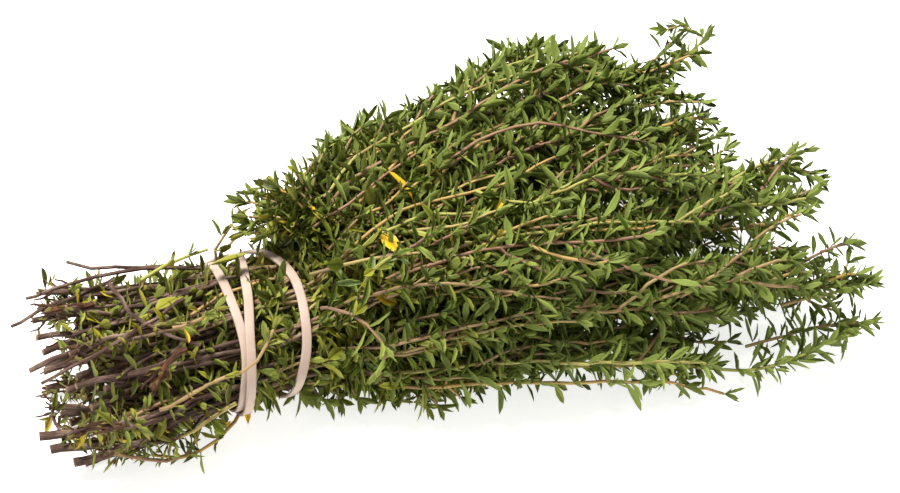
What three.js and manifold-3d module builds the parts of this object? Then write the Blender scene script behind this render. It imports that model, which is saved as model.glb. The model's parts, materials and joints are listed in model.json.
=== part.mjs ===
// A bunch of cut thyme, lying on a table and held by one rubber band that goes round it three times.
// Millimetres, +Z up, the table at z = 0. The cut ends point to -X and the leafy tips fan out towards +X.
import * as THREE from "three";
import { mergeVertices } from "three/addons/utils/BufferGeometryUtils.js";
import Module from "manifold-3d";

const wasm = await Module();
wasm.setup();

// Driving dimensions. x is counted from the cut ends, and the finished group is moved back by `centre`.
const centre = { x: 116.1, y: -0.9 };
const bunch = {
  sprigs: 38, // beside the standouts
  outermost: 0.9, // place of the last of them, as a share of the way from the middle
  apart: 0.16, // least distance between such a place and a standout's
  cut: { y: 26, z: 17, mid: 19, stagger: [0, 16] }, // half width, half height and middle of the cut ends
  held: { y: 20.5, z: 13.4, mid: 18.1, from: 52, to: 77 }, // the same inside the band, and where that is
  swell: { y: 8, z: 21, mid: 25 }, // a fifth of the way out, with how far it is thrown wide
  crown: { y: 8, z: 24, mid: 27 }, // three fifths of the way out
  tips: { z: 18, mid: 25, droop: 8 },
  nearBearing: -20, // degrees from +X, in plan
  farBearing: 34,
  nearReach: 144, // from the band to the tips
  reachLost: 50, // less on the far side
  shortest: 0.78, // of the full reach
};
const stem = { cutHalf: 1.15, tipHalf: 0.5, tries: 40 };
const shoot = { half: 0.6, tipHalf: 0.5, length: [22, 38], spread: [0.3, 0.62], tries: 16 };
const leaf = { length: [7.4, 9.6], width: 0.36, thick: 0.8, arch: 0.14, lean: [44, 62], sunk: 0.8, tries: 5 };
const shootLeaf = 0.9; // size of a leaf on a shoot, beside one on a main stem
const band = { width: 2.6, thick: 1, y: 23.8, z: 15.9, mid: 18.1, steps: 96 };
const clear = { stem: 0.6, leaf: 0.9, floor: 0.4 }; // the gaps that are kept
const nearest = 0.001; // least distance between two corners of a solid
const bounds = { ceiling: 53, edge: 25, widening: 0.27 }; // how far random shoots may reach
const colours = { leaves: 0x4f6b26, rubber: 0xe6d6c4 };

// Shares of a stem or shoot that get a ring, a side shoot or a pair of leaves. Only the outer sprigs show.
const ringShares = { stem: [0, 0.17, 0.33, 0.5, 0.57, 0.66, 0.76, 0.88, 1], shoot: [0, 0.5, 1] };
const shootShares = { outer: [0.55, 0.72], inner: [0.66] };
const leafShares = { outer: [0.09, 0.22, 0.56, 0.68, 0.8, 0.93], inner: [0.8, 0.93], shoot: [0.65] };
const outerFrom = 0.6;

// Sprigs that are known one by one: their place among the stems, from -1 to 1 across and up, and their tips.
// Those that lie have both ends flat on the table.
const standouts = [
  { place: [-0.94, -0.28], tip: [221, -54, 9] },
  { place: [-0.94, 0.18], tip: [224, -47, 21] },
  { place: [-0.72, 0.64], tip: [219, -24, 35] },
  { place: [-0.28, 0.94], tip: [214, -6, 40] },
  { place: [0.3, 0.92], tip: [206, 35, 48] },
  { place: [0.75, 0.6], tip: [162, 47, 50] },
  { place: [-0.62, -0.7], tip: [178, -53, 0], lies: true },
  { place: [0.62, -0.7], tip: [160, 50, 0], lies: true },
  { place: [0, -0.94], tip: [200, -16, 0], lies: true },
];

// Where side shoots reach furthest: behind the band, along the lower edges, and above the cut part
const reaches = [
  [69, 25, 44], [76, 27, 44], [83, 28, 47], [93, 31, 50], [104, 33, 50], [121, 35, 52], [136, 43, 52],
  [74, -24, 5], [80, -28, 5], [91, -30, 5], [100, -37, 4], [121, -37, 4], [141, -40, 5], [155, -46, 5],
  [18, -24, 4], [26, -22, 3], [36, -25, 3], [48, -23, 4], [36, 22, 34], [45, 21, 36],
  [181, 44, 50], [194, 31, 48], [205, 46, 47], [211, 2, 44], [208, -18, 40],
];

// The band's middle line: for each eighth of a turn, from the top down the near side and round, its place
// along x and how far it is lifted, where it passes over another turn.
const bandTurns = [
  [55.0, 0], [55.4, 0], [53.2, 0], [52.0, 0], [52.0, 0], [52.2, 0.6], [54.0, 1.5], [58.5, 1.2],
  [62.2, 0], [58.8, 1.2], [55.2, 1.5], [54.4, 1.5], [55.2, 0.6], [55.6, 0.9], [58.4, 1.5], [69.0, 0.6],
  [75.4, 0], [73.4, 0], [68.8, 0], [65.6, 0], [63.4, 0], [61.4, 0], [57.8, 0], [55.4, 0],
];

const vector = (x, y, z) => new THREE.Vector3(x, y, z);
const { degToRad, lerp } = THREE.MathUtils;
const goldenAngle = Math.PI * (3 - Math.sqrt(5));

// Park and Miller's generator, so that every run draws the same bunch.
function drawer(seed) {
  let state = seed;
  const between = (low, high) => {
    state = (state * 48271) % 2147483647;
    return low + ((high - low) * state) / 2147483647;
  };
  for (let skipped = 0; skipped < 4; skipped++) between(0, 1);
  return between;
}

// Geometry from a few points
function geometryOf(positions, faces) {
  const geometry = new THREE.BufferGeometry();
  geometry.setAttribute("position", new THREE.Float32BufferAttribute(positions, 3));
  geometry.setIndex(faces);
  return geometry;
}

// A line is a list of rings: where each lies, and the stem's half width there.
function lineAlong(curve, shares, fromHalf, toHalf) {
  return shares.map((share) => {
    const half = lerp(fromHalf, toHalf, share);
    const at = curve.getPoint(share);
    at.z = Math.max(at.z, half); // a stem that would dip into the table lies along it
    return { at, half };
  });
}

// The leaf that ends a stem or shoot, as the two rings that follow its last
function endLeaf(line, length) {
  const { root, along } = spotOn(line, 1);
  const wide = (leaf.width * length) / 2;
  return [
    { at: root.clone().addScaledVector(along, 0.45 * length), half: wide, high: leaf.thick / 2 },
    { at: root.clone().addScaledVector(along, length), half: 0 },
  ].map((ring) => ({ ...ring, at: ring.at.setZ(Math.max(ring.at.z, leaf.thick)) }));
}

// The point at a share of a line, and the line's direction there
function spotOn(line, share) {
  const k = Math.min(Math.floor(share * (line.length - 1)), line.length - 2);
  const [from, to] = [line[k].at, line[k + 1].at];
  const root = from.clone().lerp(to, share * (line.length - 1) - k);
  return { root, along: to.clone().sub(from).normalize() };
}

// A closed tube through a line's rings and on to its last, a point. It is square for a main stem, as thyme's
// are, with a flat side down.
function tube(line, sides) {
  const positions = [];
  const faces = [];
  const last = line.length - 1;
  const corner = sides === 4 ? Math.SQRT2 : 1.35;
  line.slice(0, last).forEach(({ at, half, high = half }, k) => {
    const along = line[k + 1].at.clone().sub(line[Math.max(k - 1, 0)].at).normalize();
    const side = vector(0, 0, 1).cross(along).normalize();
    const upward = sides === 4 ? vector(0, 0, 1) : along.clone().cross(side);
    for (let s = 0; s < sides; s++) {
      const turn = (2 * Math.PI * (s + 0.5)) / sides - Math.PI / 2;
      const point = at.clone().addScaledVector(side, corner * half * Math.cos(turn));
      positions.push(...point.addScaledVector(upward, corner * high * Math.sin(turn)));
    }
  });
  positions.push(...line[last].at);
  for (let k = 0; k < last; k++)
    for (let s = 0; s < sides; s++) {
      const a = k * sides + s;
      const b = k * sides + ((s + 1) % sides);
      if (k < last - 1) faces.push(a, b, b + sides, a, b + sides, a + sides);
      else faces.push(a, b, last * sides);
    }
  for (let s = 1; s + 1 < sides; s++) faces.push(0, s + 1, s);
  return geometryOf(positions, faces);
}

// One arched blade, flat below and with a raised middle above. Its root is a point inside the stem.
const bladeOutline = [[0, 0], [0.38, -0.5], [0.7, -0.46], [1, 0], [0.7, 0.46], [0.38, 0.5]];

function bladePoint({ root, along, across, up, length }, far, wide, high) {
  return root
    .clone()
    .addScaledVector(along, far * length)
    .addScaledVector(across, wide * leaf.width * length)
    .addScaledVector(up, high - leaf.arch * length * far * far);
}

function blade(grown) {
  const outline = bladeOutline.map(([far, wide]) => bladePoint(grown, far, wide, 0));
  const middle = bladePoint(grown, 0.5, 0, leaf.thick);
  const above = outline.flatMap((_, s) => [6, s, (s + 1) % outline.length]);
  const below = [0, 5, 1, 1, 5, 2, 2, 5, 4, 2, 4, 3];
  return geometryOf([...outline, middle].flatMap((point) => [...point]), [...above, ...below]);
}

// Joining, with manifold-3d
function solidOf(geometry) {
  const merged = mergeVertices(geometry, 1e-4);
  return new wasm.Manifold(
    new wasm.Mesh({
      numProp: 3,
      vertProperties: new Float32Array(merged.attributes.position.array),
      triVerts: new Uint32Array(merged.index.array),
    }),
  );
}

// Whether no two of a solid's corners are so near that rounding would merge them
function isClean(solid) {
  const { numProp, vertProperties, numVert } = solid.getMesh();
  const cornerAt = (_, i) => vector(...vertProperties.slice(i * numProp, i * numProp + 3));
  const corners = Array.from({ length: numVert }, cornerAt).sort((a, b) => a.x - b.x);
  return corners.every((corner, i) => {
    for (let j = i + 1; j < numVert && corners[j].x - corner.x < nearest; j++)
      if (corner.distanceTo(corners[j]) < nearest) return false;
    return true;
  });
}

// The two solids in one, or the first alone where the join would leave slivers
function joined(solid, other) {
  const both = solid.add(other);
  return isClean(both) ? both : solid;
}

const fused = (stalk, blades) => blades.map(solidOf).reduce(joined, solidOf(stalk));

function meshOf(name, solid, colour, roughness) {
  const { numProp, vertProperties, triVerts } = solid.getMesh();
  const positions = [];
  for (let i = 0; i < vertProperties.length; i += numProp) positions.push(...vertProperties.slice(i, i + 3));
  const material = new THREE.MeshStandardMaterial({ color: colour, roughness, metalness: 0 });
  const mesh = new THREE.Mesh(geometryOf(positions, Array.from(triVerts)), material);
  mesh.name = name;
  return mesh;
}

// The space that is taken: balls along the stems, leaves and band, each with its owner.
const taken = [];

function claim(line, owner, step = 1.2) {
  for (let k = 0; k + 1 < line.length; k++) {
    const count = Math.ceil(line[k].at.distanceTo(line[k + 1].at) / step);
    for (let j = 0; j <= count; j++) {
      const at = line[k].at.clone().lerp(line[k + 1].at, j / count);
      taken.push({ at, r: 1.3 * lerp(line[k].half, line[k + 1].half, j / count), owner });
    }
  }
}

function isFree(points, reach, owner) {
  return points.every((point) =>
    taken.every((ball) => ball.owner === owner || ball.at.distanceToSquared(point) > (ball.r + reach) ** 2),
  );
}

function lineIsFree(line, owner) {
  return line.slice(1).every(({ at, half }, k) => {
    const from = line[k].at;
    const count = Math.ceil(from.distanceTo(at) / 2);
    const points = Array.from({ length: count }, (_, j) => from.clone().lerp(at, (j + 1) / count));
    return isFree(points, 1.3 * half + clear.stem, owner);
  });
}

// The route of a main stem at place (u, v): from its cut end through the band to its tip.
function mainCurve([u, v], tip, lies, between) {
  const { cut, held, swell, crown } = bunch;
  const start = vector(
    between(...cut.stagger),
    cut.y * u + between(-1.2, 1.2),
    lies ? 0 : cut.mid + cut.z * v + between(-1.2, 1.2),
  );
  const tied = vector(held.from, held.y * u, held.mid + held.z * v);
  const freed = tied.clone().setX(held.to);
  const gathered = start.clone().lerp(tied, 0.5);
  if (lies) gathered.z = 0;
  const out = tip.clone().sub(freed);
  const square = v / Math.sqrt(1 - 0.6 * u * u); // the fan is squarer in section than the tied part
  const swollen = freed.clone().addScaledVector(out, 0.2);
  swollen.y += swell.y * u + between(-1, 1);
  swollen.z = swell.mid + swell.z * square + between(-1, 1);
  const crowned = freed.clone().addScaledVector(out, 0.6);
  crowned.y += lies ? 0 : crown.y * u + between(-2, 2);
  crowned.z = lies ? 0 : lerp(crown.mid + crown.z * square, crowned.z, 0.3) + between(-1, 1);
  const points = [start, gathered, tied, freed, swollen, crowned, tip];
  return new THREE.CatmullRomCurve3(points, false, "catmullrom");
}

function usualTip(u, v, between) {
  const across = (1 + Math.sin((Math.PI / 2) * u)) / 2; // the outer stems spread most
  const bearing = degToRad(lerp(bunch.nearBearing, bunch.farBearing, across) + between(-1.5, 1.5));
  const reach = (bunch.nearReach - bunch.reachLost * across ** 3) * between(bunch.shortest, 1);
  return vector(
    bunch.held.to + reach * Math.cos(bearing),
    reach * Math.sin(bearing),
    bunch.tips.mid + bunch.tips.z * v - bunch.tips.droop * u * u + between(-2, 2),
  );
}

// Every sprig's place among the stems: the standouts round the outside, the others evenly within.
function sprigPlaces() {
  const usual = Array.from({ length: bunch.sprigs }, (_, i) => {
    const far = bunch.outermost * ((i + 0.5) / bunch.sprigs) ** 0.44;
    return { place: [far * Math.cos(i * goldenAngle), far * Math.sin(i * goldenAngle)] };
  });
  const apart = ({ place: [u, v] }) =>
    standouts.every(({ place }) => Math.hypot(place[0] - u, place[1] - v) > bunch.apart);
  return [...standouts, ...usual.filter(apart)];
}

// The direction that leaves `along` by `lean` degrees, towards `turn` degrees round it.
function leaning(along, lean, turn) {
  const outward = vector(0, 0, 1).cross(along).normalize().applyAxisAngle(along, degToRad(turn));
  const direction = along.clone().applyAxisAngle(along.clone().cross(outward), degToRad(lean));
  return { outward, direction };
}

// A line with its end leaf
function grownLine(curve, shares, fromHalf, toHalf, between) {
  const line = lineAlong(curve, shares, fromHalf, toHalf);
  return [...line, ...endLeaf(line, between(...leaf.length))];
}

// A side shoot leaves its stem at a share of it, spreads and turns back to run beside it.
function sideShoot(main, share, owner, between) {
  const { root, along } = spotOn(main.slice(0, -2), share);
  for (let attempt = 0; attempt < shoot.tries; attempt++) {
    const length = between(...shoot.length) * (1 - (0.5 * attempt) / shoot.tries);
    const spread = between(...shoot.spread);
    const { outward } = leaning(along, 90, between(0, 360));
    const points = [0, 1 / 3, 2 / 3, 1].map((far) =>
      root
        .clone()
        .addScaledVector(along, far * length)
        .addScaledVector(outward, spread * length * (1 - (1 - far) ** 2)),
    );
    const route = new THREE.CatmullRomCurve3(points, false, "catmullrom");
    const line = grownLine(route, ringShares.shoot, shoot.half, shoot.tipHalf, between);
    const { x, y, z } = line.at(-1).at;
    const edge = bounds.edge + bounds.widening * (x - bunch.held.to);
    if (Math.abs(y) < edge && z < bounds.ceiling && lineIsFree(line, owner)) return line;
  }
  return null;
}

const rootShares = Array.from({ length: 40 }, (_, k) => (k + 0.5) / 40); // where such a shoot may start

// The shortest clear side shoot to a point, from whichever stem is near. It bends towards the tips as it goes.
function reachingShoot(tip, sprigs) {
  const roots = sprigs.flatMap(({ line, owner, between }) =>
    rootShares.map((share) => ({ ...spotOn(line.slice(0, -2), share), owner, between })),
  );
  const near = roots.filter(({ root, along }) => {
    const away = tip.clone().sub(root);
    const distance = away.length();
    const sameSide = root.x > bunch.held.from === tip.x > bunch.held.from;
    return sameSide && distance > 16 && distance < 40 && away.dot(along) > 0.45 * distance;
  });
  near.sort((a, b) => a.root.distanceTo(tip) - b.root.distanceTo(tip));
  for (const { root, along, owner, between } of near) {
    const end = tip.clone().lerp(root, leaf.length[0] / root.distanceTo(tip)); // the end leaf does the rest
    const bend = root.clone().lerp(end, 0.5).addScaledVector(along, -0.12 * root.distanceTo(end));
    const route = new THREE.CatmullRomCurve3([root, bend, end], false, "catmullrom");
    const line = grownLine(route, ringShares.shoot, shoot.half, shoot.tipHalf, between);
    if (lineIsFree(line, owner)) return { line, owner };
  }
  return null;
}

function addShoot(sprig, line) {
  sprig.shoots.push(line);
  claim(line, sprig.owner);
}

// A leaf on a line, tried at a few angles until it is clear of what stands round it.
function leafAt(line, share, turn, size, owner, between) {
  const { root, along } = spotOn(line, share);
  for (let attempt = 0; attempt < leaf.tries; attempt++) {
    const swing = (4 + 4 * attempt) * between(-1, 1);
    const { outward, direction } = leaning(along, between(...leaf.lean), turn + swing);
    const across = direction.clone().cross(outward).normalize();
    const up = direction.clone().cross(across);
    const sunk = root.clone().addScaledVector(along, -leaf.sunk).addScaledVector(direction, -leaf.sunk / 2);
    const grown = { root: sunk, along: direction, across, up, length: size * between(...leaf.length) };
    const reached = [[0.22, 0], [0.45, 0.3], [0.45, -0.3], [0.72, 0.28], [0.72, -0.28], [1, 0]];
    const points = reached.map(([far, wide]) => bladePoint(grown, far, wide, 0));
    const lowest = Math.min(...bladeOutline.map(([far, wide]) => bladePoint(grown, far, wide, 0).z));
    if (lowest > clear.floor && isFree(points, clear.leaf, owner)) {
      points.forEach((at) => taken.push({ at, r: 0.5, owner }));
      return blade(grown);
    }
  }
  return null;
}

// Leaves in pairs, each at a share of a line and turned on from the last: on a square stem at right angles to
// it, and on a three-sided shoot by a third of a turn. Every leaf grows out of one of the flat sides.
function leafPairs(line, sides, shares, size, owner, between) {
  const first = sides === 4 ? 90 * Math.round(between(0, 1)) : 30;
  const apart = sides === 4 ? 180 : 120;
  const stalk = line.slice(0, -2);
  const pairs = shares.flatMap((share, k) =>
    [0, apart].map((other) => leafAt(stalk, share, first + (360 / sides) * k + other, size, owner, between)),
  );
  return pairs.filter(Boolean);
}

// The band: a flat strip swept along its closed middle line
function bandLine() {
  const axes = bandTurns.map(([x, lift]) => vector(x, lift, 0));
  const course = new THREE.CatmullRomCurve3(axes, true, "catmullrom");
  const turns = bandTurns.length / 8;
  return Array.from({ length: band.steps }, (_, k) => {
    const { x, y: lift } = course.getPoint(k / band.steps);
    const turn = Math.PI / 2 + (2 * Math.PI * turns * k) / band.steps;
    const outward = vector(0, Math.cos(turn) / band.y, Math.sin(turn) / band.z).normalize();
    const at = vector(x, band.y * Math.cos(turn), band.mid + band.z * Math.sin(turn));
    return { at: at.addScaledVector(outward, lift), outward, half: band.width / 2 };
  });
}

function bandGeometry(line) {
  const corners = [[-1, -1], [1, -1], [1, 1], [-1, 1]];
  const positions = line.flatMap(({ at, outward }, k) => {
    const along = line[(k + 1) % line.length].at.clone().sub(line.at(k - 1).at).normalize();
    const across = outward.clone().cross(along).normalize();
    const normal = along.clone().cross(across);
    return corners.flatMap(([w, t]) => [
      ...at
        .clone()
        .addScaledVector(across, (w * band.width) / 2)
        .addScaledVector(normal, (t * band.thick) / 2),
    ]);
  });
  const faces = line.flatMap((_, k) =>
    corners.flatMap((_, s) => {
      const [a, b] = [4 * k + s, 4 * k + ((s + 1) % 4)];
      const next = (4 * (k + 1)) % (4 * line.length);
      const [c, d] = [next + s, next + ((s + 1) % 4)];
      return [a, b, d, a, d, c];
    }),
  );
  return geometryOf(positions, faces);
}

// Building
const places = sprigPlaces();
const sprigs = places.map(({ place: [u, v], tip, lies }, i) => {
  const between = drawer(1009 + 97 * i);
  let line;
  for (let attempt = 0; attempt < stem.tries && !(line && lineIsFree(line, i)); attempt++) {
    const end = tip ? vector(...tip) : usualTip(u, v, between);
    const moved = [u, v].map((place) => place + between(-0.003, 0.003) * attempt);
    const curve = mainCurve(moved, end, lies, between);
    line = grownLine(curve, ringShares.stem, stem.cutHalf, stem.tipHalf, between);
  }
  claim(line, i);
  return { between, line, layer: Math.hypot(u, v) > outerFrom ? "outer" : "inner", owner: i, shoots: [] };
});
const strip = bandLine();
claim([...strip, strip[0]], "band");

for (const reach of reaches) {
  const found = reachingShoot(vector(...reach), sprigs);
  if (found) addShoot(sprigs[found.owner], found.line);
}
for (const sprig of sprigs)
  for (const share of shootShares[sprig.layer]) {
    const line = sideShoot(sprig.line, share + sprig.between(0, 0.05), sprig.owner, sprig.between);
    if (line) addShoot(sprig, line);
  }

const group = new THREE.Group();
for (const { line, shoots, layer, owner, between } of sprigs) {
  const leafy = (stalk, sides, shares, size) =>
    fused(tube(stalk, sides), leafPairs(stalk, sides, shares, size, owner, between));
  const main = leafy(line, 4, leafShares[layer], 1);
  const branches = shoots.map((side) => leafy(side, 3, leafShares.shoot, shootLeaf));
  const name = `sprig_${String(owner + 1).padStart(2, "0")}`;
  group.add(meshOf(name, branches.reduce(joined, main), colours.leaves, 0.7));
}
group.add(meshOf("rubber_band", solidOf(bandGeometry(strip)), colours.rubber, 0.5));
group.position.set(-centre.x, -centre.y, 0);

export default group;
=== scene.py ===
# The looks of a bunch of cut thyme that lies on a white table, held by one rubber band.
import json
import math
import random

import bpy
import numpy as np
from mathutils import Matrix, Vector

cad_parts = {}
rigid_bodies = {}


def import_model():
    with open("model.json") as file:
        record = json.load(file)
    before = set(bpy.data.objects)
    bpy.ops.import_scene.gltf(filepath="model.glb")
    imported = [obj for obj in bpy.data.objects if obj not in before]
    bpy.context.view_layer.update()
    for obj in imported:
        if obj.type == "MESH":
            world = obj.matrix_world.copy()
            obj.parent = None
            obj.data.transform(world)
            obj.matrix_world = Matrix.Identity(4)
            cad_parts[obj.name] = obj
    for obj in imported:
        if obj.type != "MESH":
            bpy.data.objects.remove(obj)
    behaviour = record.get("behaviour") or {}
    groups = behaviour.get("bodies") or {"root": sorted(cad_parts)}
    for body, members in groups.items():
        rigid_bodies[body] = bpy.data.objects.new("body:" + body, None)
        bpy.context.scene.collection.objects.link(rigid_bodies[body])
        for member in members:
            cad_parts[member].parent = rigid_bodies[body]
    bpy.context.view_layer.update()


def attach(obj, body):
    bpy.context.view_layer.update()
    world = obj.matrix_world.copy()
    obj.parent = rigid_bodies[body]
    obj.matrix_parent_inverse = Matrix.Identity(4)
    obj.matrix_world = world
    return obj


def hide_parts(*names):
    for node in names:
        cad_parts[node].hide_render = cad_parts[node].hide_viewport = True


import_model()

# Routes are worked out in millimetres, with x counted from the cut ends, and moved to the frame by this.
mm = 0.001
centre = np.array([116.1, -0.9, 0.0])
up = np.array([0.0, 0.0, 1.0])


def toFrame(points):
    return (np.asarray(points, float) - centre) * mm


# Camera
view = {"azimuth": -22, "elevation": 42, "distance": 700, "target": (119.3, -6.2, 34.7), "pixel": 0.275,
        "photoWidth": 900, "sensor": 36}


def addCamera():
    azimuth, elevation = math.radians(view["azimuth"]), math.radians(view["elevation"])
    back = Vector((math.sin(azimuth) * math.cos(elevation), -math.cos(azimuth) * math.cos(elevation),
                   math.sin(elevation)))
    data = bpy.data.cameras.new("camera")
    data.sensor_width = view["sensor"]
    data.lens = view["sensor"] * view["distance"] / (view["pixel"] * view["photoWidth"])
    camera = bpy.data.objects.new("camera", data)
    camera.location = Vector(toFrame(view["target"])) + back * view["distance"] * mm
    camera.rotation_euler = (-back).to_track_quat("-Z", "Y").to_euler()
    bpy.context.scene.collection.objects.link(camera)
    bpy.context.scene.camera = camera


addCamera()


# Curves
def lerp(low, high, share):
    return low + (high - low) * share


def unit(vector):
    return vector / np.linalg.norm(vector)


def catmullRom(points, share, closed=False):
    # the point at a share of a uniform Catmull-Rom curve, its open ends carried straight on
    points = np.asarray(points, float)
    count = len(points)
    place = (count if closed else count - 1) * share
    k = int(place) if closed else min(int(place), count - 2)
    w = place - k
    if closed:
        p0, p1, p2, p3 = (points[(k + j) % count] for j in (-1, 0, 1, 2))
    else:
        p1, p2 = points[k], points[k + 1]
        p0 = points[k - 1] if k > 0 else 2 * p1 - p2
        p3 = points[k + 2] if k + 2 < count else 2 * p2 - p1
    t1, t2 = 0.5 * (p2 - p0), 0.5 * (p3 - p1)
    ends = (2 * w**3 - 3 * w**2 + 1) * p1 + (3 * w**2 - 2 * w**3) * p2
    return ends + (w**3 - 2 * w**2 + w) * t1 + (w**3 - w**2) * t2


def smoothWay(points, count):
    return np.array([catmullRom(points, share) for share in np.linspace(0, 1, count)])


class Route:
    # a smooth line that can be asked for its point and direction at a length along it
    def __init__(self, points):
        self.points = np.asarray(points, float)
        steps = np.linalg.norm(np.diff(self.points, axis=0), axis=1)
        self.lengths = np.concatenate([[0], np.cumsum(steps)])
        self.length = self.lengths[-1]

    def at(self, length):
        return np.array([np.interp(length, self.lengths, self.points[:, j]) for j in range(3)])

    def heading(self, length):
        return unit(self.at(min(length + 1, self.length)) - self.at(max(length - 1, 0)))


# Where the main stems run. The rule and its draws are the solids' own, so that each sprig stays with its
# solid. A bend is a place that the visible stem is drawn to from there.
bunch = {
    "sprigs": 38, "outermost": 0.9, "crowding": 0.44, "apart": 0.16, "squareness": 0.6,
    "cut": {"y": 26, "z": 17, "mid": 19, "stagger": (0, 16), "shake": (-1.2, 1.2)},
    "held": {"y": 20.5, "z": 13.4, "mid": 18.1, "from": 52, "to": 77},
    "swell": {"y": 8, "z": 21, "mid": 25, "share": 0.2, "shake": (-1, 1)},
    "crown": {"y": 8, "z": 24, "mid": 27, "share": 0.6, "own": 0.3, "shake": (-2, 2)},
    "tips": {"z": 18, "mid": 25, "droop": 8, "shake": (-2, 2), "turn": (-1.5, 1.5)},
    "nearBearing": -20, "farBearing": 34, "nearReach": 144, "reachLost": 50, "shortest": 0.78,
}
solidStem = {"cutHalf": 1.15, "tipHalf": 0.5, "tries": 40, "nudge": (-0.003, 0.003), "fat": 1.3, "gap": 0.6,
             "ballStep": 1.2, "testStep": 2, "routePoints": 90,
             "rings": (0, 0.17, 0.33, 0.5, 0.57, 0.66, 0.76, 0.88, 1)}
solidLeaf = {"length": (7.4, 9.6), "width": 0.36, "thick": 0.8, "widest": 0.45}
generator = {"factor": 48271, "limit": 2147483647, "skipped": 4, "firstSeed": 1009, "seedStep": 97}
goldenAngle = math.pi * (3 - math.sqrt(5))

standouts = [
    {"place": (-0.94, -0.28), "tip": (221, -54, 9), "bend": (187, -55, 7)},
    {"place": (-0.94, 0.18), "tip": (224, -47, 21)},
    {"place": (-0.72, 0.64), "tip": (219, -24, 35)},
    {"place": (-0.28, 0.94), "tip": (214, -6, 40), "bend": (205, -13, 38)},
    {"place": (0.3, 0.92), "tip": (206, 35, 48)},
    {"place": (0.75, 0.6), "tip": (162, 47, 50)},
    {"place": (-0.62, -0.7), "tip": (178, -53, 0), "lies": True, "bend": (150, -29, 9)},
    {"place": (0.62, -0.7), "tip": (160, 50, 0), "lies": True},
    {"place": (0, -0.94), "tip": (200, -16, 0), "lies": True},
]


def drawer(seed):
    # Park and Miller's generator
    state = seed

    def between(low, high):
        nonlocal state
        state = state * generator["factor"] % generator["limit"]
        return low + (high - low) * state / generator["limit"]

    for _ in range(generator["skipped"]):
        between(0, 1)
    return between


def mainPoints(place, tip, lies, between):
    u, v = place
    cut, held, swell, crown = (bunch[part] for part in ("cut", "held", "swell", "crown"))
    start = np.array([between(*cut["stagger"]), cut["y"] * u + between(*cut["shake"]), 0.0])
    if not lies:
        start[2] = cut["mid"] + cut["z"] * v + between(*cut["shake"])
    tied = np.array([held["from"], held["y"] * u, held["mid"] + held["z"] * v])
    freed = np.array([held["to"], tied[1], tied[2]])
    gathered = (start + tied) / 2
    if lies:
        gathered[2] = 0
    out = tip - freed
    square = v / math.sqrt(1 - bunch["squareness"] * u * u)
    swollen = freed + swell["share"] * out
    swollen[1] += swell["y"] * u + between(*swell["shake"])
    swollen[2] = swell["mid"] + swell["z"] * square + between(*swell["shake"])
    crowned = freed + crown["share"] * out
    if lies:
        crowned[2] = 0
    else:
        crowned[1] += crown["y"] * u + between(*crown["shake"])
        crowned[2] = lerp(crown["mid"] + crown["z"] * square, crowned[2], crown["own"])
        crowned[2] += between(*swell["shake"])
    return [start, gathered, tied, freed, swollen, crowned, tip]


def usualTip(u, v, between):
    across, tips = (1 + math.sin(math.pi / 2 * u)) / 2, bunch["tips"]
    bearing = math.radians(lerp(bunch["nearBearing"], bunch["farBearing"], across) + between(*tips["turn"]))
    reach = (bunch["nearReach"] - bunch["reachLost"] * across**3) * between(bunch["shortest"], 1)
    high = tips["mid"] + tips["z"] * v - tips["droop"] * u * u + between(*tips["shake"])
    return np.array([bunch["held"]["to"] + reach * math.cos(bearing), reach * math.sin(bearing), high])


def sprigPlaces():
    found = list(standouts)
    for i in range(bunch["sprigs"]):
        far = bunch["outermost"] * ((i + 0.5) / bunch["sprigs"]) ** bunch["crowding"]
        u, v = far * math.cos(i * goldenAngle), far * math.sin(i * goldenAngle)
        if all(math.hypot(s["place"][0] - u, s["place"][1] - v) > bunch["apart"] for s in standouts):
            found.append({"place": (u, v)})
    return found


def solidRings(points, between):
    # the solid's rings: where each lies and its half width, with those of the leaf at its end
    at = np.array([catmullRom(points, share) for share in solidStem["rings"]])
    half = [lerp(solidStem["cutHalf"], solidStem["tipHalf"], share) for share in solidStem["rings"]]
    at[:, 2] = np.maximum(at[:, 2], half)
    length = between(*solidLeaf["length"])
    along = unit(at[-1] - at[-2])
    ends = np.array([at[-1] + along * solidLeaf["widest"] * length, at[-1] + along * length])
    ends[:, 2] = np.maximum(ends[:, 2], solidLeaf["thick"])
    return np.vstack([at, ends]), half + [solidLeaf["width"] * length / 2, 0]


def ballsAlong(at, half):
    # balls that fill the space a solid takes
    found = []
    for k in range(len(at) - 1):
        count = math.ceil(np.linalg.norm(at[k + 1] - at[k]) / solidStem["ballStep"])
        for share in [j / count for j in range(count + 1)]:
            wide = solidStem["fat"] * lerp(half[k], half[k + 1], share)
            found.append((*lerp(at[k], at[k + 1], share), wide))
    return found


def ringsAreFree(at, half, taken):
    if not taken:
        return True
    balls = np.array(taken)
    for k in range(1, len(at)):
        count = math.ceil(np.linalg.norm(at[k] - at[k - 1]) / solidStem["testStep"])
        points = np.array([lerp(at[k - 1], at[k], (j + 1) / count) for j in range(count)])
        apart = np.linalg.norm(points[:, None] - balls[None, :, :3], axis=2)
        if (apart <= balls[:, 3] + solidStem["fat"] * half[k] + solidStem["gap"]).any():
            return False
    return True


def mainRoutes():
    routes, taken = [], []
    for i, sprig in enumerate(sprigPlaces()):
        between = drawer(generator["firstSeed"] + generator["seedStep"] * i)
        u, v = sprig["place"]
        for attempt in range(solidStem["tries"]):
            tip = np.array(sprig["tip"], float) if "tip" in sprig else usualTip(u, v, between)
            moved = [place + between(*solidStem["nudge"]) * attempt for place in (u, v)]
            points = mainPoints(moved, tip, sprig.get("lies", False), between)
            at, half = solidRings(points, between)
            if ringsAreFree(at, half, taken):
                break
        taken.extend(ballsAlong(at, half))
        route = Route(smoothWay(points, solidStem["routePoints"]))
        routes.append({"route": route, "place": (u, v), "bend": sprig.get("bend")})
    return routes


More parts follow.
